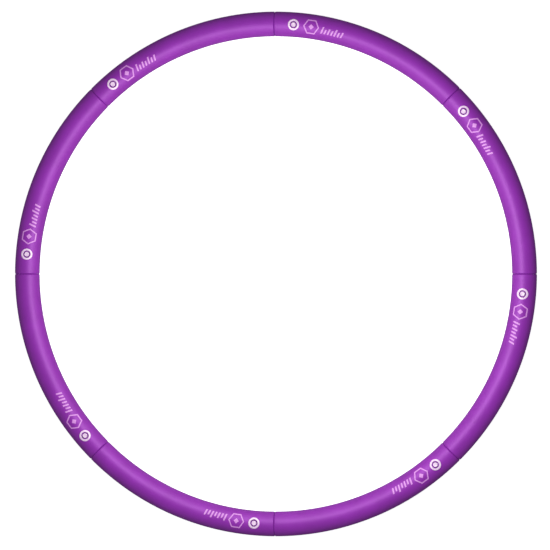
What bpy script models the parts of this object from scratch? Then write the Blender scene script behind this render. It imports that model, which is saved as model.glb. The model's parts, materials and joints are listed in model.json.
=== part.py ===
"""Foam-covered exercise hoop that comes apart into eight snap-together sections.

Metres, +Z up. The hoop lies flat with the middle of the ring above the origin and its underside at Z = 0.
Every tube is swept round the ring in straight chords, so the last chord of a section is a straight socket
and the spigot of the next section slides straight out of it.
"""

from math import acos, atan2, cos, pi, radians, sin

import bmesh
import bpy
from mathutils import Matrix, Vector

# Driving sizes
OUTER_DIAMETER = 0.950  # over the foam, across the ring
TUBE_DIAMETER = 0.045  # over the foam, across the tube
SECTIONS = 8
SIDES = 16  # flats round every tube, one of them facing straight down
CORE_DIAMETER = 0.028
CORE_WALL = 0.002
CONNECTOR_WALL = 0.002
CLEARANCE = 0.0003  # between neighbouring pieces
SEAM_GAP = 0.0003  # between the ends of two sections

# The push button and its snap
BUTTON_FROM_SEAM = 0.036  # along the tube
BUTTON_HEAD_DIAMETER = 0.0084
BUTTON_STEM_DIAMETER = 0.0064
BUTTON_FLANGE_DIAMETER = 0.0144
BUTTON_FLANGE_THICKNESS = 0.0012
BUTTON_PROUD = 0.0016  # head above the foam
BUTTON_EDGE = 0.0005  # rounding of the head
BEZEL_OUTER_DIAMETER = 0.0204
BEZEL_INNER_DIAMETER = 0.0132
BEZEL_THICKNESS = 0.0008
RECESS_DEPTH = 0.003  # of the shelf round the button head
STUD_DIAMETER = 0.007
STUD_BELOW_CORE = 0.0002  # top of the stud under the outside of the core tube
CLIP_WIDTH = 0.006
CLIP_THICKNESS = 0.0006
CLIP_REACH = 0.024  # from the stud to the centre of the bend
CLIP_BEND_RADIUS = 0.003
CLIP_PAD = 0.006  # of flat strip on each side of the stud's axis
STRAIGHT_PAST_BEZEL = 0.0035  # of straight socket beyond the bezel

# Facets of the small round pieces
ROUND_FACETS = 16
BEND_FACETS = 5

# Worked out from the sizes above
FOAM_OUTER = TUBE_DIAMETER / 2
CORE_OUTER = CORE_DIAMETER / 2
CORE_INNER = CORE_OUTER - CORE_WALL
FOAM_INNER = CORE_OUTER + CLEARANCE
CONNECTOR_OUTER = CORE_INNER - CLEARANCE
CONNECTOR_INNER = CONNECTOR_OUTER - CONNECTOR_WALL
RING_RADIUS = OUTER_DIAMETER / 2 - FOAM_OUTER
TUBE_HEIGHT = FOAM_OUTER  # of the tube's centre line above Z = 0
SECTION_ANGLE = 2 * pi / SECTIONS
SOCKET_LENGTH = BUTTON_FROM_SEAM + BEZEL_OUTER_DIAMETER / 2 + STRAIGHT_PAST_BEZEL
CHORDS = int(RING_RADIUS * SECTION_ANGLE / SOCKET_LENGTH)  # in one section
CHORD_ANGLE = SECTION_ANGLE / CHORDS

# Heights above the tube's centre line, at the button
BUTTON_TRAVEL = CORE_WALL  # takes the stud from the outside of the core tube to the inside
STUD_TOP = CORE_OUTER - STUD_BELOW_CORE
STEM_BOTTOM = STUD_TOP + CLEARANCE
FLANGE_BOTTOM = CORE_OUTER + BUTTON_TRAVEL + 2 * CLEARANCE
FLANGE_TOP = FLANGE_BOTTOM + BUTTON_FLANGE_THICKNESS
FLANGE_POCKET_TOP = FLANGE_TOP + CLEARANCE
HEAD_TOP = FOAM_OUTER + BUTTON_PROUD
SHELF_HEIGHT = FOAM_OUTER - RECESS_DEPTH

MATERIALS = {
    # name: colour, roughness, metallic
    "purple_foam": ((0.20, 0.022, 0.32, 1), 0.75, 0),
    "white_plastic": ((0.85, 0.84, 0.86, 1), 0.35, 0),
    "grey_core_plastic": ((0.55, 0.55, 0.57, 1), 0.45, 0),
    "dark_connector_plastic": ((0.05, 0.05, 0.055, 1), 0.45, 0),
    "spring_steel": ((0.60, 0.60, 0.62, 1), 0.30, 1),
}


def clear_scene():
    for obj in list(bpy.data.objects):
        bpy.data.objects.remove(obj, do_unlink=True)


def new_collection(name):
    collection = bpy.data.collections.new(name)
    bpy.context.scene.collection.children.link(collection)
    return collection


def new_material(name):
    colour, roughness, metallic = MATERIALS[name]
    material = bpy.data.materials.new(name)
    material.use_nodes = True
    shader = material.node_tree.nodes["Principled BSDF"]
    shader.inputs["Base Color"].default_value = colour
    shader.inputs["Roughness"].default_value = roughness
    shader.inputs["Metallic"].default_value = metallic
    material.diffuse_color = colour
    return material


def new_object(name, bm, collection):
    """An object made from a bmesh, with its faces pointing out."""
    mesh = bpy.data.meshes.new(name)
    bm.to_mesh(mesh)
    bm.free()
    obj = bpy.data.objects.new(name, mesh)
    collection.objects.link(obj)
    return obj


def hide_cutter(obj):
    obj.hide_render = True
    obj.display_type = "WIRE"


def add_boolean(obj, operation, other):
    modifier = obj.modifiers.new(operation.lower(), "BOOLEAN")
    modifier.operation = operation
    modifier.object = other
    modifier.solver = "EXACT"


def finished_mesh(obj, material):
    """The object's mesh with its modifiers applied, shaded smooth between its flats."""
    evaluated = obj.evaluated_get(bpy.context.evaluated_depsgraph_get())
    mesh = bpy.data.meshes.new_from_object(evaluated)
    mesh.name = obj.name
    mesh.materials.clear()
    mesh.materials.append(material)
    mesh.shade_smooth()
    mesh.set_sharp_from_angle(angle=radians(35))
    return mesh


# Swept tubes


def chord_direction(chord_middle):
    """Anticlockwise along the chord whose middle is at this angle."""
    return Vector((-sin(chord_middle), cos(chord_middle), 0))


def tube_profile(bm, outer, inner):
    """Faces between two polygons, in the XZ plane at angle 0. The radii are from the centre to the flats."""
    corner = 1 / cos(pi / SIDES)
    stand_up = Matrix.Translation((RING_RADIUS, 0, TUBE_HEIGHT)) @ Matrix.Rotation(pi / 2, 4, "X")
    half_flat = Matrix.Rotation(pi / SIDES, 4, "Z")
    for radius in (outer, inner):
        bmesh.ops.create_circle(bm, segments=SIDES, radius=radius * corner, matrix=stand_up @ half_flat)
    bmesh.ops.bridge_loops(bm, edges=list(bm.edges))


def swept_tube(name, outer, inner, first_chord, last_chord, end_gap, collection):
    """A tube over whole chords, counted from the angle 0, with each end pulled back by end_gap."""
    bm = bmesh.new()
    tube_profile(bm, outer, inner)
    start = first_chord * CHORD_ANGLE
    chords = last_chord - first_chord
    bmesh.ops.rotate(bm, verts=bm.verts, cent=(0, 0, 0), matrix=Matrix.Rotation(start, 3, "Z"))
    first_ring = list(bm.verts)
    swept = bmesh.ops.spin(
        bm,
        geom=list(bm.verts) + list(bm.edges) + list(bm.faces),
        axis=(0, 0, 1),
        cent=(0, 0, 0),
        angle=chords * CHORD_ANGLE,
        steps=chords,
    )
    last_ring = [item for item in swept["geom_last"] if isinstance(item, bmesh.types.BMVert)]
    end = last_chord * CHORD_ANGLE
    bmesh.ops.translate(bm, verts=first_ring, vec=end_gap * chord_direction(start + CHORD_ANGLE / 2))
    bmesh.ops.translate(bm, verts=last_ring, vec=-end_gap * chord_direction(end - CHORD_ANGLE / 2))
    bmesh.ops.recalc_face_normals(bm, faces=bm.faces)
    return new_object(name, bm, collection)


def flat_height(radius, across):
    """Height of a tube's top surface above its centre line, this far to the side of it."""
    tilt = 2 * pi / SIDES
    return min(radius, (radius - across * sin(tilt)) / cos(tilt))


# Pieces at the button


def button_matrix(seam_angle):
    """Stands on the tube's centre line at a seam's button, with +X along the chord towards the seam."""
    chord_middle = seam_angle - CHORD_ANGLE / 2
    seam = Vector((RING_RADIUS * cos(seam_angle), RING_RADIUS * sin(seam_angle), TUBE_HEIGHT))
    place = seam - BUTTON_FROM_SEAM * chord_direction(chord_middle)
    return Matrix.Translation(place) @ Matrix.Rotation(chord_middle + pi / 2, 4, "Z")


def turned(name, outline, collection, on_axis):
    """An outline of (radius, height) points, outer side from top to bottom, turned about Z."""
    bm = bmesh.new()
    points = [bm.verts.new((radius, 0, height)) for radius, height in outline]
    pairs = list(zip(points, points[1:]))
    if not on_axis:
        pairs.append((points[-1], points[0]))
    for pair in pairs:
        bm.edges.new(pair)
    obj = new_object(name, bm, collection)
    screw = obj.modifiers.new("turn", "SCREW")
    screw.axis = "Z"
    screw.angle = 2 * pi
    screw.steps = screw.render_steps = ROUND_FACETS
    screw.use_merge_vertices = True
    screw.merge_threshold = 1e-6
    return obj


def round_cutter(name, steps, collection):
    """A stepped drill: (radius, bottom, top) for each step, wide ones first."""
    outline = [(0, steps[-1][2])]
    for radius, bottom, top in reversed(steps):
        outline += [(radius, top), (radius, bottom)]
    outline.append((0, steps[0][1]))
    cutter = turned(name, outline, collection, on_axis=True)
    hide_cutter(cutter)
    return cutter


def release_button(collection):
    head = BUTTON_HEAD_DIAMETER / 2
    flange = BUTTON_FLANGE_DIAMETER / 2
    stem = BUTTON_STEM_DIAMETER / 2
    outline = [
        (0, HEAD_TOP),
        (head - BUTTON_EDGE, HEAD_TOP),
        (head, HEAD_TOP - BUTTON_EDGE),
        (head, FLANGE_TOP),
        (flange, FLANGE_TOP),
        (flange, FLANGE_BOTTOM),
        (stem, FLANGE_BOTTOM),
        (stem, STEM_BOTTOM),
        (0, STEM_BOTTOM),
    ]
    return turned("release_button", outline, collection, on_axis=True)


def button_bezel(parts, cutters):
    """A flat ring bent over the tube: a turned sleeve, kept only where it meets a shell round the foam."""
    outer = BEZEL_OUTER_DIAMETER / 2
    inner = BEZEL_INNER_DIAMETER / 2
    top = HEAD_TOP + BEZEL_THICKNESS
    outline = [(inner, top), (outer, top), (outer, 0), (inner, 0)]
    sleeve = turned("button_bezel", outline, parts, on_axis=False)
    sleeve.matrix_world = button_matrix(SECTION_ANGLE)
    shell_inner = FOAM_OUTER + CLEARANCE
    shell_outer = shell_inner + BEZEL_THICKNESS
    shell = swept_tube("bezel_shell", shell_outer, shell_inner, CHORDS - 1, CHORDS, 0, cutters)
    hide_cutter(shell)
    shell.data.transform(sleeve.matrix_world.inverted())
    shell.matrix_world = sleeve.matrix_world
    add_boolean(sleeve, "INTERSECT", shell)
    return sleeve


def clip_strip_outline(height):
    """The snap clip's centre line as (x, z) points: a flat pad under the stud, a leg, a bend and a base."""
    bend_z = CLIP_BEND_RADIUS - height
    to_pad = Vector((CLIP_PAD - CLIP_REACH, height - bend_z))
    leaves = atan2(to_pad.y, to_pad.x) - acos(CLIP_BEND_RADIUS / to_pad.length)
    points = [(-CLIP_PAD, height), (CLIP_PAD, height)]
    for step in range(BEND_FACETS + 1):
        angle = leaves - (leaves + pi / 2) * step / BEND_FACETS
        points.append((CLIP_REACH + CLIP_BEND_RADIUS * cos(angle), bend_z + CLIP_BEND_RADIUS * sin(angle)))
    points.append((-CLIP_PAD, -height))
    return points


def snap_clip(parts, cutters):
    """A spring strip folded to a V inside the spigot, with the locking stud on its upper leg."""
    surface = flat_height(CONNECTOR_INNER, CLIP_WIDTH / 2) - CLEARANCE
    height = surface - CLIP_THICKNESS / 2
    bm = bmesh.new()
    rows = [bm.verts.new((x, -CLIP_WIDTH / 2, z)) for x, z in clip_strip_outline(height)]
    edges = [bm.edges.new(pair) for pair in zip(rows, rows[1:])]
    widened = bmesh.ops.extrude_edge_only(bm, edges=edges)
    far_side = [item for item in widened["geom"] if isinstance(item, bmesh.types.BMVert)]
    bmesh.ops.translate(bm, verts=far_side, vec=(0, CLIP_WIDTH, 0))
    bmesh.ops.recalc_face_normals(bm, faces=bm.faces)
    strip = new_object("snap_clip", bm, parts)
    strip.matrix_world = button_matrix(0)
    thicken = strip.modifiers.new("thickness", "SOLIDIFY")
    thicken.thickness = CLIP_THICKNESS
    thicken.offset = 0
    thicken.use_even_offset = True
    stud = round_cutter("clip_stud", [(STUD_DIAMETER / 2, height, STUD_TOP)], cutters)
    stud.matrix_world = strip.matrix_world
    add_boolean(strip, "UNION", stud)
    return strip


def section_pieces(parts, cutters):
    """One of each piece of a section that runs from angle 0 to SECTION_ANGLE, as (mesh, place)."""
    stud_hole = STUD_DIAMETER / 2 + CLEARANCE
    head_hole = BUTTON_HEAD_DIAMETER / 2 + CLEARANCE
    flange_pocket = BUTTON_FLANGE_DIAMETER / 2 + CLEARANCE
    recess = BEZEL_INNER_DIAMETER / 2
    above = HEAD_TOP + BEZEL_THICKNESS
    inside = CORE_INNER / 2  # a height well inside every tube's wall

    foam = swept_tube("foam_sleeve", FOAM_OUTER, FOAM_INNER, 0, CHORDS, SEAM_GAP / 2, parts)
    core = swept_tube("core_tube", CORE_OUTER, CORE_INNER, 0, CHORDS, SEAM_GAP / 2, parts)
    connector = swept_tube("connector", CONNECTOR_OUTER, CONNECTOR_INNER, -1, 1, 0, parts)
    button = release_button(parts)
    button.matrix_world = button_matrix(SECTION_ANGLE)

    foam_drill = round_cutter(
        "foam_drill",
        [(flange_pocket, inside, FLANGE_POCKET_TOP), (head_hole, FLANGE_POCKET_TOP, above)],
        cutters,
    )
    recess_drill = round_cutter("recess_drill", [(recess, SHELF_HEIGHT, above)], cutters)
    core_drill = round_cutter("core_drill", [(stud_hole, inside, above)], cutters)
    connector_drill = round_cutter("connector_drill", [(stud_hole, inside, above)], cutters)
    for drill in (foam_drill, recess_drill, core_drill):
        drill.matrix_world = button_matrix(SECTION_ANGLE)
    connector_drill.matrix_world = button_matrix(0)
    add_boolean(foam, "DIFFERENCE", foam_drill)
    add_boolean(foam, "DIFFERENCE", recess_drill)
    add_boolean(core, "DIFFERENCE", core_drill)
    add_boolean(connector, "DIFFERENCE", connector_drill)

    return {
        foam: "purple_foam",
        core: "grey_core_plastic",
        connector: "dark_connector_plastic",
        snap_clip(parts, cutters): "spring_steel",
        button: "white_plastic",
        button_bezel(parts, cutters): "white_plastic",
    }


def main():
    clear_scene()
    parts = new_collection("sectional_exercise_hoop")
    cutters = new_collection("cutters")
    materials = {name: new_material(name) for name in MATERIALS}
    masters = section_pieces(parts, cutters)
    bpy.context.view_layer.update()
    pieces = [
        (obj.name, finished_mesh(obj, materials[material]), obj.matrix_world.copy())
        for obj, material in masters.items()
    ]
    for obj in masters:
        bpy.data.objects.remove(obj, do_unlink=True)
    for number in range(1, SECTIONS + 1):
        section = bpy.data.objects.new(f"section_{number}", None)
        section.rotation_euler.z = (number - 1) * SECTION_ANGLE
        parts.objects.link(section)
        for name, mesh, place in pieces:
            piece = bpy.data.objects.new(f"{name}_{number}", mesh)
            piece.parent = section
            piece.matrix_local = place
            parts.objects.link(piece)


main()
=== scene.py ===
"""Looks of the foam-covered sectional hoop: foam, printing, push buttons, and the snap joints inside.

Metres, +Z up. The hoop lies flat round the Z axis, so every section's pieces are made once, for the
section that runs from angle 0 to SECTION_ANGLE, and turned round the axis for the others.
"""

import json
from math import acos, atan2, cos, pi, radians, sin, sqrt

import bmesh
import bpy
from mathutils import Matrix, Vector


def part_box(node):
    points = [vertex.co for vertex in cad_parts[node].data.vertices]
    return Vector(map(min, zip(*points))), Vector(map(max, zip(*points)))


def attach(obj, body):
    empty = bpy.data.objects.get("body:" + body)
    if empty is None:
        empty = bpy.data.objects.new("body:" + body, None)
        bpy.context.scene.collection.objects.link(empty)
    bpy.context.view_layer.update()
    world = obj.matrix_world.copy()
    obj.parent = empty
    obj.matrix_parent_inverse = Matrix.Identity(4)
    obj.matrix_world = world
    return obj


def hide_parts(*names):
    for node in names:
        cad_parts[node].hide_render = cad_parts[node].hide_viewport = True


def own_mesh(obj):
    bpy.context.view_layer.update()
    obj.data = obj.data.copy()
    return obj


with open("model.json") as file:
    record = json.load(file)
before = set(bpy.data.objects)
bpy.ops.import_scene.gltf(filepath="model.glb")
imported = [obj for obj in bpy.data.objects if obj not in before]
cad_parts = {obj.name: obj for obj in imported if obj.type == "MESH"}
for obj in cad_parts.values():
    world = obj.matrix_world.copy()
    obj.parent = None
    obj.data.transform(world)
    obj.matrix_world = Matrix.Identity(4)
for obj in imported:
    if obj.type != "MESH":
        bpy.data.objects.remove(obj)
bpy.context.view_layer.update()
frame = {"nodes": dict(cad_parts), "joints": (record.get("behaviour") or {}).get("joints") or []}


def node_box(name):
    low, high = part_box(name)
    return Vector(low), Vector(high)


# Sizes read from the frame
SECTIONS = sum(name.startswith("foam_sleeve_") for name in frame["nodes"])
SECTION_ANGLE = 2 * pi / SECTIONS
foam_low, foam_high = node_box("foam_sleeve_1")
FOAM_RADIUS = (foam_high.z - foam_low.z) / 2
TUBE_HEIGHT = FOAM_RADIUS
RING_RADIUS = foam_high.x - FOAM_RADIUS
core_low, core_high = node_box("core_tube_1")
CORE_OUTER = (core_high.z - core_low.z) / 2
connector_low, connector_high = node_box("connector_1")
CONNECTOR_OUTER = (connector_high.z - connector_low.z) / 2
button_low, button_high = node_box("release_button_1")
HEAD_TOP = button_high.z - TUBE_HEIGHT
STEM_BOTTOM = button_low.z - TUBE_HEIGHT
FLANGE_RADIUS = (button_high.x - button_low.x) / 2
bezel_low, bezel_high = node_box("button_bezel_1")
BEZEL_RADIUS = (bezel_high.x - bezel_low.x) / 2
clip_low, clip_high = node_box("snap_clip_1")
STUD_TOP = clip_high.z - TUBE_HEIGHT
CLIP_FLOOR = clip_low.z - TUBE_HEIGHT
BUTTON_TRAVEL = next(j for j in frame["joints"] if j["name"] == "button_1_press")["range_m"][1]

# Sizes that the frame doesn't give, with the CAD's values
CHORDS = 7  # straight stretches in one section's core tube
CAD_SIDES = 16  # flats round every tube of the CAD
CHORD_ANGLE = SECTION_ANGLE / CHORDS
CLEARANCE = 0.0003  # between neighbouring pieces
SEAM_GAP = 0.0003  # between the core tubes of two sections
CORE_WALL = 0.002
CONNECTOR_WALL = 0.002
CORE_INNER = CORE_OUTER - CORE_WALL
CONNECTOR_INNER = CONNECTOR_OUTER - CONNECTOR_WALL
BORE_RADIUS = (CORE_OUTER + CLEARANCE) / cos(pi / CAD_SIDES)  # to the corners of the CAD's bore
HEAD_RADIUS = 0.0042
STEM_RADIUS = 0.0032
FLANGE_BOTTOM = CORE_OUTER + BUTTON_TRAVEL + 2 * CLEARANCE
FLANGE_TOP = FLANGE_BOTTOM + 0.0012
BEZEL_INNER_RADIUS = 0.0066
SHELF_HEIGHT = FOAM_RADIUS - 0.003  # of the recessed foam round the button head
STUD_RADIUS = 0.0035
CLIP_WIDTH = 0.006
CLIP_THICKNESS = 0.0006
CLIP_REACH = 0.024  # from the stud to the centre of the bend
CLIP_BEND_RADIUS = 0.003
CLIP_PAD = 0.006  # of flat strip on each side of the stud's axis
BUTTON_FROM_SEAM = 0.036  # along the tube

# Fineness of the meshes
FOAM_ROUND = 96
FOAM_LONG = 90  # along one sleeve
TUBE_ROUND = 64
TURN_ROUND = 64  # round the button, its well and the stud
BEZEL_ROUND = 14  # across the ring's dome
BEND_ROUND = 20  # round the clip's bend
END_ROUND = 8  # facets round a soft edge
WELD = 1e-6  # points nearer to each other than this after a cut become one

# ---------------------------------------------------------------- camera, floor and light

CAMERA_DISTANCE = 12.0
CAMERA_LEAN = radians(6)  # from straight above, towards +X
SENSOR_MM = 36
VIEW_WIDTH = 0.9958  # of the scene seen at the hoop's middle height
VIEW_SHIFT = (0.0001, -0.0019)  # of the view's middle from the hoop's
TOWARDS_CAMERA = Vector((sin(CAMERA_LEAN), 0, cos(CAMERA_LEAN)))


def add_camera():
    data = bpy.data.cameras.new("camera")
    data.sensor_width = SENSOR_MM
    data.lens = SENSOR_MM * CAMERA_DISTANCE / VIEW_WIDTH
    data.clip_end = 2 * CAMERA_DISTANCE
    camera = bpy.data.objects.new("camera", data)
    aim = Matrix.Translation((*VIEW_SHIFT, TUBE_HEIGHT)) @ Matrix.Rotation(CAMERA_LEAN, 4, "Y")
    camera.matrix_world = aim @ Matrix.Translation((0, 0, CAMERA_DISTANCE))
    bpy.context.scene.collection.objects.link(camera)
    bpy.context.scene.camera = camera


# name, distance from the hoop's middle towards the camera, diameter, power in watts, colour
SOFT_BOXES = (
    ("centre_softbox", 0.84, 0.5, 6.4, (1, 1, 1)),
    ("low_softbox", 0.22, 0.34, 0.62, (1, 1, 0.8)),
)
WORLD_TOP = 0.37
WORLD_SIDE = 0.27
WORLD_UNDER = 0.07
WORLD_SEEN = 0.97  # the pale backdrop that the camera sees over the floor


def grey(level):
    return (level, level, level, 1)


def add_soft_boxes():
    """Two round area lights on the camera's line of sight, facing the hoop's middle."""
    for name, distance, size, power, colour in SOFT_BOXES:
        data = bpy.data.lights.new(name, "AREA")
        data.shape = "DISK"
        data.size = size
        data.energy = power
        data.color = colour
        light = bpy.data.objects.new(name, data)
        light.location = distance * TOWARDS_CAMERA
        light.rotation_euler = (-TOWARDS_CAMERA).to_track_quat("-Z", "Y").to_euler()
        light.visible_camera = False
        bpy.context.scene.collection.objects.link(light)


def add_world():
    """A studio that is bright above and dim below. The camera itself sees an even pale backdrop."""
    world = bpy.data.worlds.new("studio")
    world.use_nodes = True
    tree = world.node_tree
    background = tree.nodes["Background"]
    direction = tree.nodes.new("ShaderNodeTexCoord").outputs["Generated"]
    split = tree.nodes.new("ShaderNodeSeparateXYZ")
    tree.links.new(direction, split.inputs["Vector"])
    ramp = tree.nodes.new("ShaderNodeValToRGB")
    spread = tree.nodes.new("ShaderNodeMapRange")
    spread.inputs["From Min"].default_value = -1
    tree.links.new(split.outputs["Z"], spread.inputs["Value"])
    tree.links.new(spread.outputs["Result"], ramp.inputs["Fac"])
    elements = ramp.color_ramp.elements
    elements[0].position, elements[0].color = 0.0, grey(WORLD_UNDER)
    elements[1].position, elements[1].color = 1.0, grey(WORLD_TOP)
    elements.new(0.5).color = grey(WORLD_SIDE)
    seen = tree.nodes.new("ShaderNodeMix")
    seen.data_type = "RGBA"
    lit, backdrop = (socket for socket in seen.inputs if socket.type == "RGBA")
    backdrop.default_value = grey(WORLD_SEEN)
    light_path = tree.nodes.new("ShaderNodeLightPath")
    tree.links.new(light_path.outputs["Is Camera Ray"], seen.inputs["Factor"])
    tree.links.new(ramp.outputs["Color"], lit)
    mixed = next(socket for socket in seen.outputs if socket.type == "RGBA")
    tree.links.new(mixed, background.inputs["Color"])
    bpy.context.scene.world = world
    bpy.context.scene.view_settings.view_transform = "Standard"


FLOOR_HALF_WIDTH = 6
INNER_FLOOR_RADIUS = 0.42
# name, height, shade, glow
FLOORS = (("floor", -0.0002, 0.9, 0.85), ("inner_floor", -0.0003, 0.3, 0.05))


def add_floors():
    """A white floor that only the camera sees, and a dim round one that lights the hoop's inside."""
    for name, height, shade_of_grey, glow in FLOORS:
        material = bpy.data.materials.new(name)
        material.use_nodes = True
        shader = material.node_tree.nodes["Principled BSDF"]
        shader.inputs["Base Color"].default_value = grey(shade_of_grey)
        shader.inputs["Roughness"].default_value = 0.9
        shader.inputs["Emission Color"].default_value = grey(1)
        shader.inputs["Emission Strength"].default_value = glow
        seen = name == "floor"
        bm = bmesh.new()
        if seen:
            bmesh.ops.create_grid(bm, x_segments=1, y_segments=1, size=FLOOR_HALF_WIDTH)
        else:
            bmesh.ops.create_circle(bm, segments=64, radius=INNER_FLOOR_RADIUS, cap_ends=True)
        mesh = bpy.data.meshes.new(name)
        bm.to_mesh(mesh)
        bm.free()
        mesh.materials.append(material)
        floor = bpy.data.objects.new(name, mesh)
        floor.location.z = height
        floor.visible_camera = seen
        floor.visible_diffuse = floor.visible_glossy = floor.visible_shadow = not seen
        bpy.context.scene.collection.objects.link(floor)


# ---------------------------------------------------------------- materials


NOISE_RANGE = (0.3, 0.7)


class Nodes:
    """A material's node tree, with the few kinds of node that these materials use."""

    def __init__(self, name, colour, roughness, metallic=0.0):
        self.material = bpy.data.materials.new(name)
        self.material.use_nodes = True
        self.tree = self.material.node_tree
        self.shader = self.tree.nodes["Principled BSDF"]
        self.shader.inputs["Base Color"].default_value = colour
        self.shader.inputs["Roughness"].default_value = roughness
        self.shader.inputs["Metallic"].default_value = metallic
        self.place = self.tree.nodes.new("ShaderNodeTexCoord").outputs["Object"]

    def link(self, output, socket):
        self.tree.links.new(output, socket)

    def set(self, **values):
        """Constants on the shader's own sockets, with _ for the spaces in their names."""
        for name, value in values.items():
            self.shader.inputs[name.replace("_", " ")].default_value = value

    def noise(self, scale, detail, stretch=None):
        """Noise in object space, finer along an axis whose stretch is more than 1."""
        node = self.tree.nodes.new("ShaderNodeTexNoise")
        node.inputs["Scale"].default_value = scale
        node.inputs["Detail"].default_value = detail
        if stretch:
            mapping = self.tree.nodes.new("ShaderNodeMapping")
            mapping.inputs["Scale"].default_value = stretch
            self.link(self.place, mapping.inputs["Vector"])
            self.link(mapping.outputs["Vector"], node.inputs["Vector"])
        else:
            self.link(self.place, node.inputs["Vector"])
        return node.outputs["Fac"]

    def cells(self, scale):
        node = self.tree.nodes.new("ShaderNodeTexVoronoi")
        node.inputs["Scale"].default_value = scale
        self.link(self.place, node.inputs["Vector"])
        return node.outputs["Distance"]

    def ramp(self, value, stops):
        node = self.tree.nodes.new("ShaderNodeValToRGB")
        elements = node.color_ramp.elements
        for element, (at, colour) in zip(elements, (stops[0], stops[-1])):
            element.position, element.color = at, colour
        for at, colour in stops[1:-1]:
            elements.new(at).color = colour
        self.link(value, node.inputs["Fac"])
        return node.outputs["Color"]

    def spread(self, value, low, high):
        """A noise value, which is mostly within NOISE_RANGE, brought to between low and high."""
        node = self.tree.nodes.new("ShaderNodeMapRange")
        node.inputs["From Min"].default_value, node.inputs["From Max"].default_value = NOISE_RANGE
        node.inputs["To Min"].default_value = low
        node.inputs["To Max"].default_value = high
        self.link(value, node.inputs["Value"])
        return node.outputs["Result"]

    def bump(self, height, distance, strength, under=None):
        node = self.tree.nodes.new("ShaderNodeBump")
        node.inputs["Distance"].default_value = distance
        node.inputs["Strength"].default_value = strength
        self.link(height, node.inputs["Height"])
        if under:
            self.link(under, node.inputs["Normal"])
        return node.outputs["Normal"]


def shade(colour, factor):
    return tuple(part * factor for part in colour[:3]) + (1,)


FOAM_COLOUR = (0.28, 0.0215, 0.428, 1)
WHITE = (0.95, 0.71, 0.97, 1)
LILAC = (0.79, 0.315, 0.87, 1)
GREY = (0.52, 0.52, 0.54, 1)
BLACK = (0.035, 0.035, 0.04, 1)
STEEL = (0.62, 0.62, 0.64, 1)


def foam_material():
    """Closed-cell foam rubber: a matt skin with fine pores, faint mottling and a soft sheen."""
    nodes = Nodes("purple_foam_skin", FOAM_COLOUR, 0.5)
    mottle = nodes.noise(28, 4)
    speckle = nodes.noise(900, 2)
    tint = nodes.ramp(
        mottle,
        [(0.3, shade(FOAM_COLOUR, 0.93)), (0.5, FOAM_COLOUR), (0.72, shade(FOAM_COLOUR, 1.07))],
    )
    nodes.link(tint, nodes.shader.inputs["Base Color"])
    nodes.link(nodes.spread(speckle, 0.44, 0.56), nodes.shader.inputs["Roughness"])
    dents = nodes.bump(nodes.noise(160, 3), 0.00012, 0.5)
    pores = nodes.bump(nodes.cells(1500), 0.00004, 0.5, under=dents)
    nodes.link(pores, nodes.shader.inputs["Normal"])
    nodes.set(Specular_IOR_Level=1.0, Specular_Tint=(0.84, 0.38, 0.97, 1))
    nodes.set(Coat_Weight=0.12, Coat_Roughness=0.5)
    return nodes.material


def white_plastic_material():
    """Moulded white plastic with a faint moulding grain."""
    nodes = Nodes("white_button_plastic", WHITE, 0.28)
    grain = nodes.noise(1400, 2)
    nodes.link(nodes.spread(grain, 0.22, 0.36), nodes.shader.inputs["Roughness"])
    tint = nodes.ramp(nodes.noise(90, 2), [(0.3, shade(WHITE, 0.97)), (0.7, shade(WHITE, 1.02))])
    nodes.link(tint, nodes.shader.inputs["Base Color"])
    nodes.link(nodes.bump(grain, 0.00001, 0.25), nodes.shader.inputs["Normal"])
    nodes.set(Coat_Weight=0.15, Coat_Roughness=0.2)
    return nodes.material


def print_material():
    """Lilac screen print, a little uneven where it sits on the foam's skin."""
    nodes = Nodes("lilac_print", LILAC, 0.5)
    uneven = nodes.ramp(nodes.noise(700, 3), [(0.3, shade(LILAC, 0.86)), (0.6, LILAC)])
    nodes.link(uneven, nodes.shader.inputs["Base Color"])
    nodes.link(nodes.bump(nodes.cells(1500), 0.00003, 0.4), nodes.shader.inputs["Normal"])
    return nodes.material


def tube_plastic_material(name, colour, roughness):
    """Extruded or moulded plastic with faint flow lines and scuffs."""
    nodes = Nodes(name, colour, roughness)
    flow = nodes.noise(60, 4, stretch=(1, 1, 6))
    nodes.link(nodes.spread(flow, roughness - 0.07, roughness + 0.09), nodes.shader.inputs["Roughness"])
    tint = nodes.ramp(nodes.noise(35, 3), [(0.3, shade(colour, 0.92)), (0.7, shade(colour, 1.06))])
    nodes.link(tint, nodes.shader.inputs["Base Color"])
    nodes.link(nodes.bump(nodes.noise(1100, 2), 0.00001, 0.7), nodes.shader.inputs["Normal"])
    return nodes.material


def spring_steel_material():
    """Cold-rolled spring strip: fine rolling lines on bright steel."""
    nodes = Nodes("bright_spring_steel", STEEL, 0.28, 1.0)
    lines = nodes.noise(500, 3, stretch=(1, 1, 12))
    nodes.link(nodes.spread(lines, 0.2, 0.4), nodes.shader.inputs["Roughness"])
    nodes.link(nodes.bump(lines, 0.000008, 0.6), nodes.shader.inputs["Normal"])
    return nodes.material


# ---------------------------------------------------------------- mesh helpers


def new_object(name, bm, material):
    bmesh.ops.recalc_face_normals(bm, faces=bm.faces)
    mesh = bpy.data.meshes.new(name)
    bm.to_mesh(mesh)
    bm.free()
    mesh.materials.append(material)
    obj = bpy.data.objects.new(name, mesh)
    bpy.context.scene.collection.objects.link(obj)
    return obj


def tube_ring(bm, count, radius, angle, centre_radius):
    """A ring of vertices round the tube's centre line at this angle of the hoop."""
    vertices = []
    for k in range(count):
        turn = 2 * pi * k / count
        out = centre_radius + radius * cos(turn)
        height = TUBE_HEIGHT + radius * sin(turn)
        vertices.append(bm.verts.new((out * cos(angle), out * sin(angle), height)))
    return vertices


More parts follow.
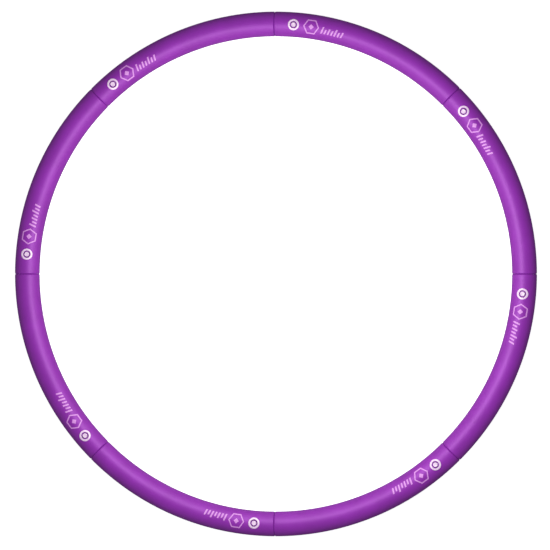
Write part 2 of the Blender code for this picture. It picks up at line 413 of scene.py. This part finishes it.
def skin_rings(bm, rings, closed_long=False):
    """Faces between each ring of vertices and the next, every ring closed on itself."""
    pairs = list(zip(rings, rings[1:]))
    if closed_long:
        pairs.append((rings[-1], rings[0]))
    for ring, following in pairs:
        for k in range(len(ring)):
            after = (k + 1) % len(ring)
            bm.faces.new((ring[k], ring[after], following[after], following[k]))


def combine(obj, operation, other):
    """Joins or cuts the object with the other one, applies the result and removes the other."""
    modifier = obj.modifiers.new("combine", "BOOLEAN")
    modifier.operation = operation
    modifier.solver = "EXACT"
    modifier.object = other
    bpy.context.view_layer.update()
    evaluated = obj.evaluated_get(bpy.context.evaluated_depsgraph_get())
    mesh = bpy.data.meshes.new_from_object(evaluated)
    bm = bmesh.new()
    bm.from_mesh(mesh)
    bmesh.ops.remove_doubles(bm, verts=bm.verts, dist=WELD)
    bm.to_mesh(mesh)
    bm.free()
    obj.modifiers.clear()
    obj.data = mesh
    bpy.data.objects.remove(other, do_unlink=True)


def smooth(mesh, angle):
    """Smooth shading, with sharp edges where two faces meet at more than the angle in degrees."""
    mesh.shade_smooth()
    mesh.set_sharp_from_angle(angle=radians(angle))


def rounded(centre, radius):
    """Points of an outline's quarter turn about centre, from its top to its outer side."""
    angles = [radians(90 - 90 * k / END_ROUND) for k in range(END_ROUND + 1)]
    return [(centre[0] + radius * cos(a), centre[1] + radius * sin(a)) for a in angles]


def turned(name, outline, material):
    """An outline of (radius, height) points turned about Z. On the axis, a ring is one point."""
    bm = bmesh.new()
    rings = []
    for radius, height in outline:
        if radius == 0:
            rings.append([bm.verts.new((0, 0, height))])
            continue
        angles = [2 * pi * k / TURN_ROUND for k in range(TURN_ROUND)]
        rings.append([bm.verts.new((radius * cos(a), radius * sin(a), height)) for a in angles])
    for ring, following in zip(rings, rings[1:]):
        for k in range(TURN_ROUND):
            corners = [
                ring[k % len(ring)],
                ring[(k + 1) % len(ring)],
                following[(k + 1) % len(following)],
                following[k % len(following)],
            ]
            bm.faces.new(list(dict.fromkeys(corners)))
    return new_object(name, bm, material)


# ---------------------------------------------------------------- places on the hoop


def chord_direction(chord_middle):
    """Anticlockwise along the straight stretch whose middle is at this angle."""
    return Vector((-sin(chord_middle), cos(chord_middle), 0))


def button_matrix(seam_angle):
    """Stands on the tube's centre line at a seam's button, with +X along the socket to the seam."""
    chord_middle = seam_angle - CHORD_ANGLE / 2
    seam = Vector((RING_RADIUS * cos(seam_angle), RING_RADIUS * sin(seam_angle), TUBE_HEIGHT))
    place = seam - BUTTON_FROM_SEAM * chord_direction(chord_middle)
    return Matrix.Translation(place) @ Matrix.Rotation(chord_middle + pi / 2, 4, "Z")


def chord_radius(angle):
    """Radius of the core tube's centre line at this angle: straight chords between even stations."""
    from_middle = angle % CHORD_ANGLE - CHORD_ANGLE / 2
    return RING_RADIUS * cos(CHORD_ANGLE / 2) / cos(from_middle)


def foam_top(point, lift):
    """The point of the foam's upper surface over or under a place, lifted square to the surface."""
    from_axis = Vector((point.x, point.y)).length
    beside = from_axis - RING_RADIUS
    rise = sqrt(FOAM_RADIUS**2 - beside**2)
    grown = lift / FOAM_RADIUS
    outward = 1 + beside * grown / from_axis
    return Vector((point.x * outward, point.y * outward, TUBE_HEIGHT + rise * (1 + grown)))


# ---------------------------------------------------------------- foam sleeve

CUTTER_SPARE = 0.002  # of a cutter beyond what it cuts
FOAM_EDGE = 0.0022  # rounding of the sleeve's ends
FOAM_GAP = 0.00002  # between two sleeves, whose soft ends all but touch
MOUTH_EDGE = 0.0005  # chamfer round the button's hole in the shelf


def foam_sleeve(material):
    """A swept tube with rounded ends, the well of its button, and its recessed shelf."""
    gap_angle = FOAM_GAP / 2 / RING_RADIUS
    outline = []  # (outer radius, angle) from one end to the other
    edge_angle = FOAM_EDGE / RING_RADIUS
    for k in range(END_ROUND + 1):
        turn = pi / 2 * k / END_ROUND
        radius = FOAM_RADIUS - FOAM_EDGE * (1 - sin(turn))
        outline.append((radius, gap_angle + edge_angle * (1 - cos(turn))))
    inner_start = gap_angle + edge_angle
    inner_end = SECTION_ANGLE - inner_start
    for k in range(1, FOAM_LONG):
        outline.append((FOAM_RADIUS, inner_start + (inner_end - inner_start) * k / FOAM_LONG))
    outline += [(radius, SECTION_ANGLE - angle) for radius, angle in reversed(outline[: END_ROUND + 1])]

    bm = bmesh.new()
    rings = [tube_ring(bm, FOAM_ROUND, radius, angle, RING_RADIUS) for radius, angle in outline]
    # the bore follows the core tube's straight chords, with a ring at every station between them
    stations = [gap_angle] + [k * CHORD_ANGLE for k in range(1, CHORDS)] + [SECTION_ANGLE - gap_angle]
    for angle in reversed(stations):
        rings.append(tube_ring(bm, FOAM_ROUND, BORE_RADIUS, angle, chord_radius(angle)))
    skin_rings(bm, rings, closed_long=True)
    foam = new_object("foam", bm, material)
    bpy.context.view_layer.update()

    above = HEAD_TOP + CUTTER_SPARE
    pocket = FLANGE_RADIUS + CLEARANCE
    hole = HEAD_RADIUS + CLEARANCE
    pocket_top = FLANGE_TOP + CLEARANCE
    well = turned(
        "well_cutter",
        [
            (0, above),
            (BEZEL_INNER_RADIUS, above),
            (BEZEL_INNER_RADIUS, SHELF_HEIGHT),
            (hole + MOUTH_EDGE, SHELF_HEIGHT),
            (hole, SHELF_HEIGHT - MOUTH_EDGE),
            (hole, pocket_top),
            (pocket, pocket_top),
            (pocket, CORE_OUTER / 2),
            (0, CORE_OUTER / 2),
        ],
        material,
    )
    well.matrix_world = button_matrix(SECTION_ANGLE)
    combine(foam, "DIFFERENCE", well)
    smooth(foam.data, 35)
    return foam


# ---------------------------------------------------------------- button, bezel and print

BEZEL_RISE = 0.00095  # of the bezel's crown over the foam
BEZEL_SUNK = 0.0003  # of its foot into the foam, where it is bonded
BEZEL_SHOULDER = 0.0001  # height over the foam at which the dome begins
CAP_EDGE = 0.0007
CAP_DISH = 0.00025  # depth of the hollow in the button's top
DISH_ROUND = 6
CAP_RIM = 0.0012  # width of the flat rim round the hollow, with its rounded edge
FLANGE_EDGE = 0.0002
STEM_EDGE = 0.0003


def button_bezel(material):
    """A domed ring that follows the foam's curve."""
    place = button_matrix(SECTION_ANGLE)
    half = (BEZEL_RADIUS - BEZEL_INNER_RADIUS) / 2
    middle = (BEZEL_RADIUS + BEZEL_INNER_RADIUS) / 2
    profile = [(middle + half, -BEZEL_SUNK)]
    for k in range(BEZEL_ROUND + 1):
        turn = pi * k / BEZEL_ROUND
        across = half * (abs(cos(turn)) ** 0.5) * (1 if cos(turn) >= 0 else -1)
        at_foot = k in (0, BEZEL_ROUND)
        lift = BEZEL_SHOULDER if at_foot else BEZEL_RISE * sin(turn) ** 0.7
        profile.append((middle + across, lift))
    profile.append((middle - half, -BEZEL_SUNK))
    bm = bmesh.new()
    rings = []
    for radius, lift in profile:
        ring = []
        for k in range(TURN_ROUND):
            turn = 2 * pi * k / TURN_ROUND
            flat = place @ Vector((radius * cos(turn), radius * sin(turn), 0))
            ring.append(bm.verts.new(foam_top(flat, lift)))
        rings.append(ring)
    skin_rings(bm, rings, closed_long=True)
    bezel = new_object("bezel", bm, material)
    smooth(bezel.data, 60)
    return bezel


def release_button(material):
    """The white push button: a dished head, the flange that keeps it in, and the stem."""
    outline = []
    for k in range(DISH_ROUND + 1):
        out = k / DISH_ROUND
        outline.append(((HEAD_RADIUS - CAP_RIM) * out, HEAD_TOP - CAP_DISH * (1 - out**2)))
    outline += rounded((HEAD_RADIUS - CAP_EDGE, HEAD_TOP - CAP_EDGE), CAP_EDGE)
    outline += [
        (HEAD_RADIUS, FLANGE_TOP),
        (FLANGE_RADIUS - FLANGE_EDGE, FLANGE_TOP),
        (FLANGE_RADIUS, FLANGE_TOP - FLANGE_EDGE),
        (FLANGE_RADIUS, FLANGE_BOTTOM),
        (STEM_RADIUS, FLANGE_BOTTOM),
        (STEM_RADIUS, STEM_BOTTOM + STEM_EDGE),
        (STEM_RADIUS - STEM_EDGE, STEM_BOTTOM),
        (0, STEM_BOTTOM),
    ]
    button = turned("push_button", outline, material)
    smooth(button.data, 40)
    button.matrix_world = button_matrix(SECTION_ANGLE)
    return button


PRINT_LIFT = 0.00012  # of the print's face over the foam
PRINT_SUNK = -0.0001  # of its back, under the foam's surface
FILM_STEPS = 12  # in a side of a printed shape
EMBLEM_FROM_SEAM = 0.0685  # along the tube, to the emblem's middle
EMBLEM_OUTWARD = -0.001  # of its middle from the tube's centre line
EMBLEM_RADIUS = 0.0147
EMBLEM_LINE = 0.0025
LOZENGE_RADIUS = 0.0048
LOZENGE_TIP = 0.0001  # half the width of its two points
BARS_START = 0.0865
BARS_LOW = -0.0100  # their inner ends, from the tube's centre line
BAR_PITCH = 0.0062
BAR_LENGTHS = (0.0125, 0.0085, 0.0105, 0.0085, 0.0125, 0.0085, 0.0105)
BAR_WIDTH = 0.0030
BAR_SLANT = 0.25  # shift along the tube for each metre outwards


def print_point(bm, along, outward, lift):
    """A vertex on the foam, or this far over it, with along counted clockwise from the seam."""
    angle = SECTION_ANGLE - along / RING_RADIUS
    out = RING_RADIUS + outward
    return bm.verts.new(foam_top(Vector((out * cos(angle), out * sin(angle), 0)), lift))


def print_film(bm, left_row, right_row, closed=False):
    """A closed film between two rows of (along, outward) points, left to right across the film."""
    rings = []
    for left, right in zip(left_row, right_row):
        middle = ((left[0] + right[0]) / 2, (left[1] + right[1]) / 2)
        places = (left, left, middle, right, right)
        lifts = (PRINT_SUNK, PRINT_LIFT, PRINT_LIFT, PRINT_LIFT, PRINT_SUNK)
        rings.append([print_point(bm, *place, lift) for place, lift in zip(places, lifts)])
    skin_rings(bm, rings, closed_long=closed)
    if not closed:
        bm.faces.new(rings[0])
        bm.faces.new(list(reversed(rings[-1])))


def hexagon(radius):
    """A hexagon's outline with extra points along its sides, so that it follows the curved foam."""
    corners = [(radius * cos(pi / 3 * k), radius * sin(pi / 3 * k)) for k in range(6)]
    outline = []
    for (x0, y0), (x1, y1) in zip(corners, corners[1:] + corners[:1]):
        for step in range(FILM_STEPS):
            t = step / FILM_STEPS
            along = EMBLEM_FROM_SEAM + x0 + (x1 - x0) * t
            outline.append((along, EMBLEM_OUTWARD + y0 + (y1 - y0) * t))
    return outline


def lozenge_rows():
    """The lozenge's left and right sides, from its inner point to its outer one."""
    left, right = [], []
    for k in range(2 * FILM_STEPS + 1):
        outward = LOZENGE_RADIUS * (k / FILM_STEPS - 1)
        half = LOZENGE_RADIUS - abs(outward) + LOZENGE_TIP
        left.append((EMBLEM_FROM_SEAM - half, EMBLEM_OUTWARD + outward))
        right.append((EMBLEM_FROM_SEAM + half, EMBLEM_OUTWARD + outward))
    return left, right


def bar_rows(start, length):
    """The two sides of one slanted bar, from its inner end to its outer one."""
    steps = [k / FILM_STEPS for k in range(FILM_STEPS + 1)]
    left = [(start + BAR_SLANT * length * t, BARS_LOW + length * t) for t in steps]
    right = [(along + BAR_WIDTH, outward) for along, outward in left]
    return left, right


def foam_print(material):
    """Plain decoration: a hexagon, a small lozenge in it, and a row of slanted bars."""
    bm = bmesh.new()
    print_film(bm, hexagon(EMBLEM_RADIUS), hexagon(EMBLEM_RADIUS - EMBLEM_LINE), closed=True)
    print_film(bm, *lozenge_rows())
    for number, length in enumerate(BAR_LENGTHS):
        print_film(bm, *bar_rows(BARS_START + number * BAR_PITCH, length))
    return new_object("print", bm, material)


# ---------------------------------------------------------------- core tube, connector and clip

TUBE_CHAMFER = 0.0005  # inside and outside the core tube's mouths
TIP_CHAMFER = 0.0012  # length of the spigot's tapered tips
TIP_TAPER = 0.6 * TIP_CHAMFER  # how far they narrow, on the outside
STUD_EDGE = 0.0009
STRIP_EDGE = 0.00012


def chord_tube(name, stations, profile_at, material):
    """A round tube along straight chords. profile_at gives (outer, inner) for each station number."""
    bm = bmesh.new()

    def rings(side):
        return [
            tube_ring(bm, TUBE_ROUND, profile_at(number)[side], angle, chord_radius(angle))
            for number, angle in enumerate(stations)
        ]

    outer, inner = rings(0), rings(1)
    skin_rings(bm, outer + list(reversed(inner)), closed_long=True)
    return new_object(name, bm, material)


def stud_drill(seam_angle, material):
    """A cutter for the lock hole in the upper wall of a tube."""
    hole = STUD_RADIUS + CLEARANCE
    low, high = CONNECTOR_INNER / 2, CORE_OUTER + CUTTER_SPARE
    drill = turned("drill", [(0, high), (hole, high), (hole, low), (0, low)], material)
    drill.matrix_world = button_matrix(seam_angle)
    return drill


def core_tube(material):
    """The plastic tube inside the foam, with chamfered mouths and the lock hole in its socket."""
    gap = SEAM_GAP / 2 / RING_RADIUS
    chamfer = TUBE_CHAMFER / RING_RADIUS
    middle = [k * CHORD_ANGLE for k in range(1, CHORDS)]
    ends = [gap, gap + chamfer]
    stations = ends + middle + [SECTION_ANGLE - angle for angle in reversed(ends)]
    last = len(stations) - 1

    def profile_at(number):
        taper = TUBE_CHAMFER if number in (0, last) else 0
        return CORE_OUTER - taper, CORE_INNER + taper

    tube = chord_tube("core", stations, profile_at, material)
    combine(tube, "DIFFERENCE", stud_drill(SECTION_ANGLE, material))
    smooth(tube.data, 30)
    return tube


def connector(material):
    """The spigot: chamfered at both tips, with the stud's hole."""
    chamfer = TIP_CHAMFER / RING_RADIUS
    stations = [-CHORD_ANGLE, -CHORD_ANGLE + chamfer, 0, CHORD_ANGLE - chamfer, CHORD_ANGLE]
    last = len(stations) - 1

    def profile_at(number):
        taper = TIP_TAPER if number in (0, last) else 0
        return CONNECTOR_OUTER - taper, CONNECTOR_INNER

    tube = chord_tube("spigot", stations, profile_at, material)
    combine(tube, "DIFFERENCE", stud_drill(0, material))
    smooth(tube.data, 20)
    return tube


def snap_clip(material):
    """A spring strip folded to a V, with the lock stud on its upper leg."""
    height = -CLIP_FLOOR - CLIP_THICKNESS / 2  # of the strip's middle at the stud
    bend_z = CLIP_BEND_RADIUS - height
    to_pad = Vector((CLIP_PAD - CLIP_REACH, height - bend_z))
    leaves = atan2(to_pad.y, to_pad.x) - acos(CLIP_BEND_RADIUS / to_pad.length)
    points = [(-CLIP_PAD, height), (CLIP_PAD, height)]
    for step in range(BEND_ROUND + 1):
        angle = leaves - (leaves + pi / 2) * step / BEND_ROUND
        along = CLIP_REACH + CLIP_BEND_RADIUS * cos(angle)
        points.append((along, bend_z + CLIP_BEND_RADIUS * sin(angle)))
    points.append((-CLIP_PAD, -height))
    bm = bmesh.new()
    row = [bm.verts.new((x, -CLIP_WIDTH / 2, z)) for x, z in points]
    edges = [bm.edges.new(pair) for pair in zip(row, row[1:])]
    widened = bmesh.ops.extrude_edge_only(bm, edges=edges)
    far_side = [item for item in widened["geom"] if isinstance(item, bmesh.types.BMVert)]
    bmesh.ops.translate(bm, verts=far_side, vec=(0, CLIP_WIDTH, 0))
    clip = new_object("clip", bm, material)
    thicken = clip.modifiers.new("thickness", "SOLIDIFY")
    thicken.thickness = CLIP_THICKNESS
    thicken.offset = 0
    thicken.use_even_offset = True
    soften = clip.modifiers.new("edges", "BEVEL")
    soften.width = STRIP_EDGE
    soften.segments = 2
    soften.limit_method = "ANGLE"

    outline = [(0, STUD_TOP)]
    outline += rounded((STUD_RADIUS - STUD_EDGE, STUD_TOP - STUD_EDGE), STUD_EDGE)
    outline += [(STUD_RADIUS, height), (0, height)]
    combine(clip, "UNION", turned("stud", outline, material))
    smooth(clip.data, 40)
    clip.matrix_world = button_matrix(0)
    return clip


# ---------------------------------------------------------------- the eight sections


def copy_round(master, name, turns):
    """The master's mesh in world coordinates, turned round the hoop's axis by whole sections."""
    mesh = master.data.copy()
    mesh.name = name
    mesh.transform(Matrix.Rotation(turns * SECTION_ANGLE, 4, "Z") @ master.matrix_world)
    piece = bpy.data.objects.new(name, mesh)
    bpy.context.scene.collection.objects.link(piece)
    return piece


def main():
    add_camera()
    add_soft_boxes()
    add_world()
    add_floors()

    foam_finish = foam_material()
    white = white_plastic_material()
    grey_plastic = tube_plastic_material("grey_tube_plastic", GREY, 0.42)
    dark_plastic = tube_plastic_material("dark_spigot_plastic", BLACK, 0.38)
    steel = spring_steel_material()
    lilac = print_material()
    masters = [
        # master, CAD node that it replaces, slot
        (foam_sleeve(foam_finish), "foam_sleeve", "purple_foam"),
        (button_bezel(white), "button_bezel", "white_plastic"),
        (release_button(white), "release_button", "white_plastic"),
        (foam_print(lilac), None, "lilac_print"),
        (core_tube(grey_plastic), "core_tube", "grey_core_plastic"),
        (connector(dark_plastic), "connector", "dark_connector_plastic"),
        (snap_clip(steel), "snap_clip", "spring_steel"),
    ]
    bpy.context.view_layer.update()
    for number in range(1, SECTIONS + 1):
        for master, node, slot in masters:
            piece = copy_round(master, f"{master.name}_{number}", number - 1)
            body = f"button_{number}" if node == "release_button" else f"section_{number}"
            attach(piece, body)
            if node:
                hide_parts(f"{node}_{number}")
            if node == "snap_clip":
                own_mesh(piece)
    for master, _, _ in masters:
        bpy.data.objects.remove(master, do_unlink=True)


main()
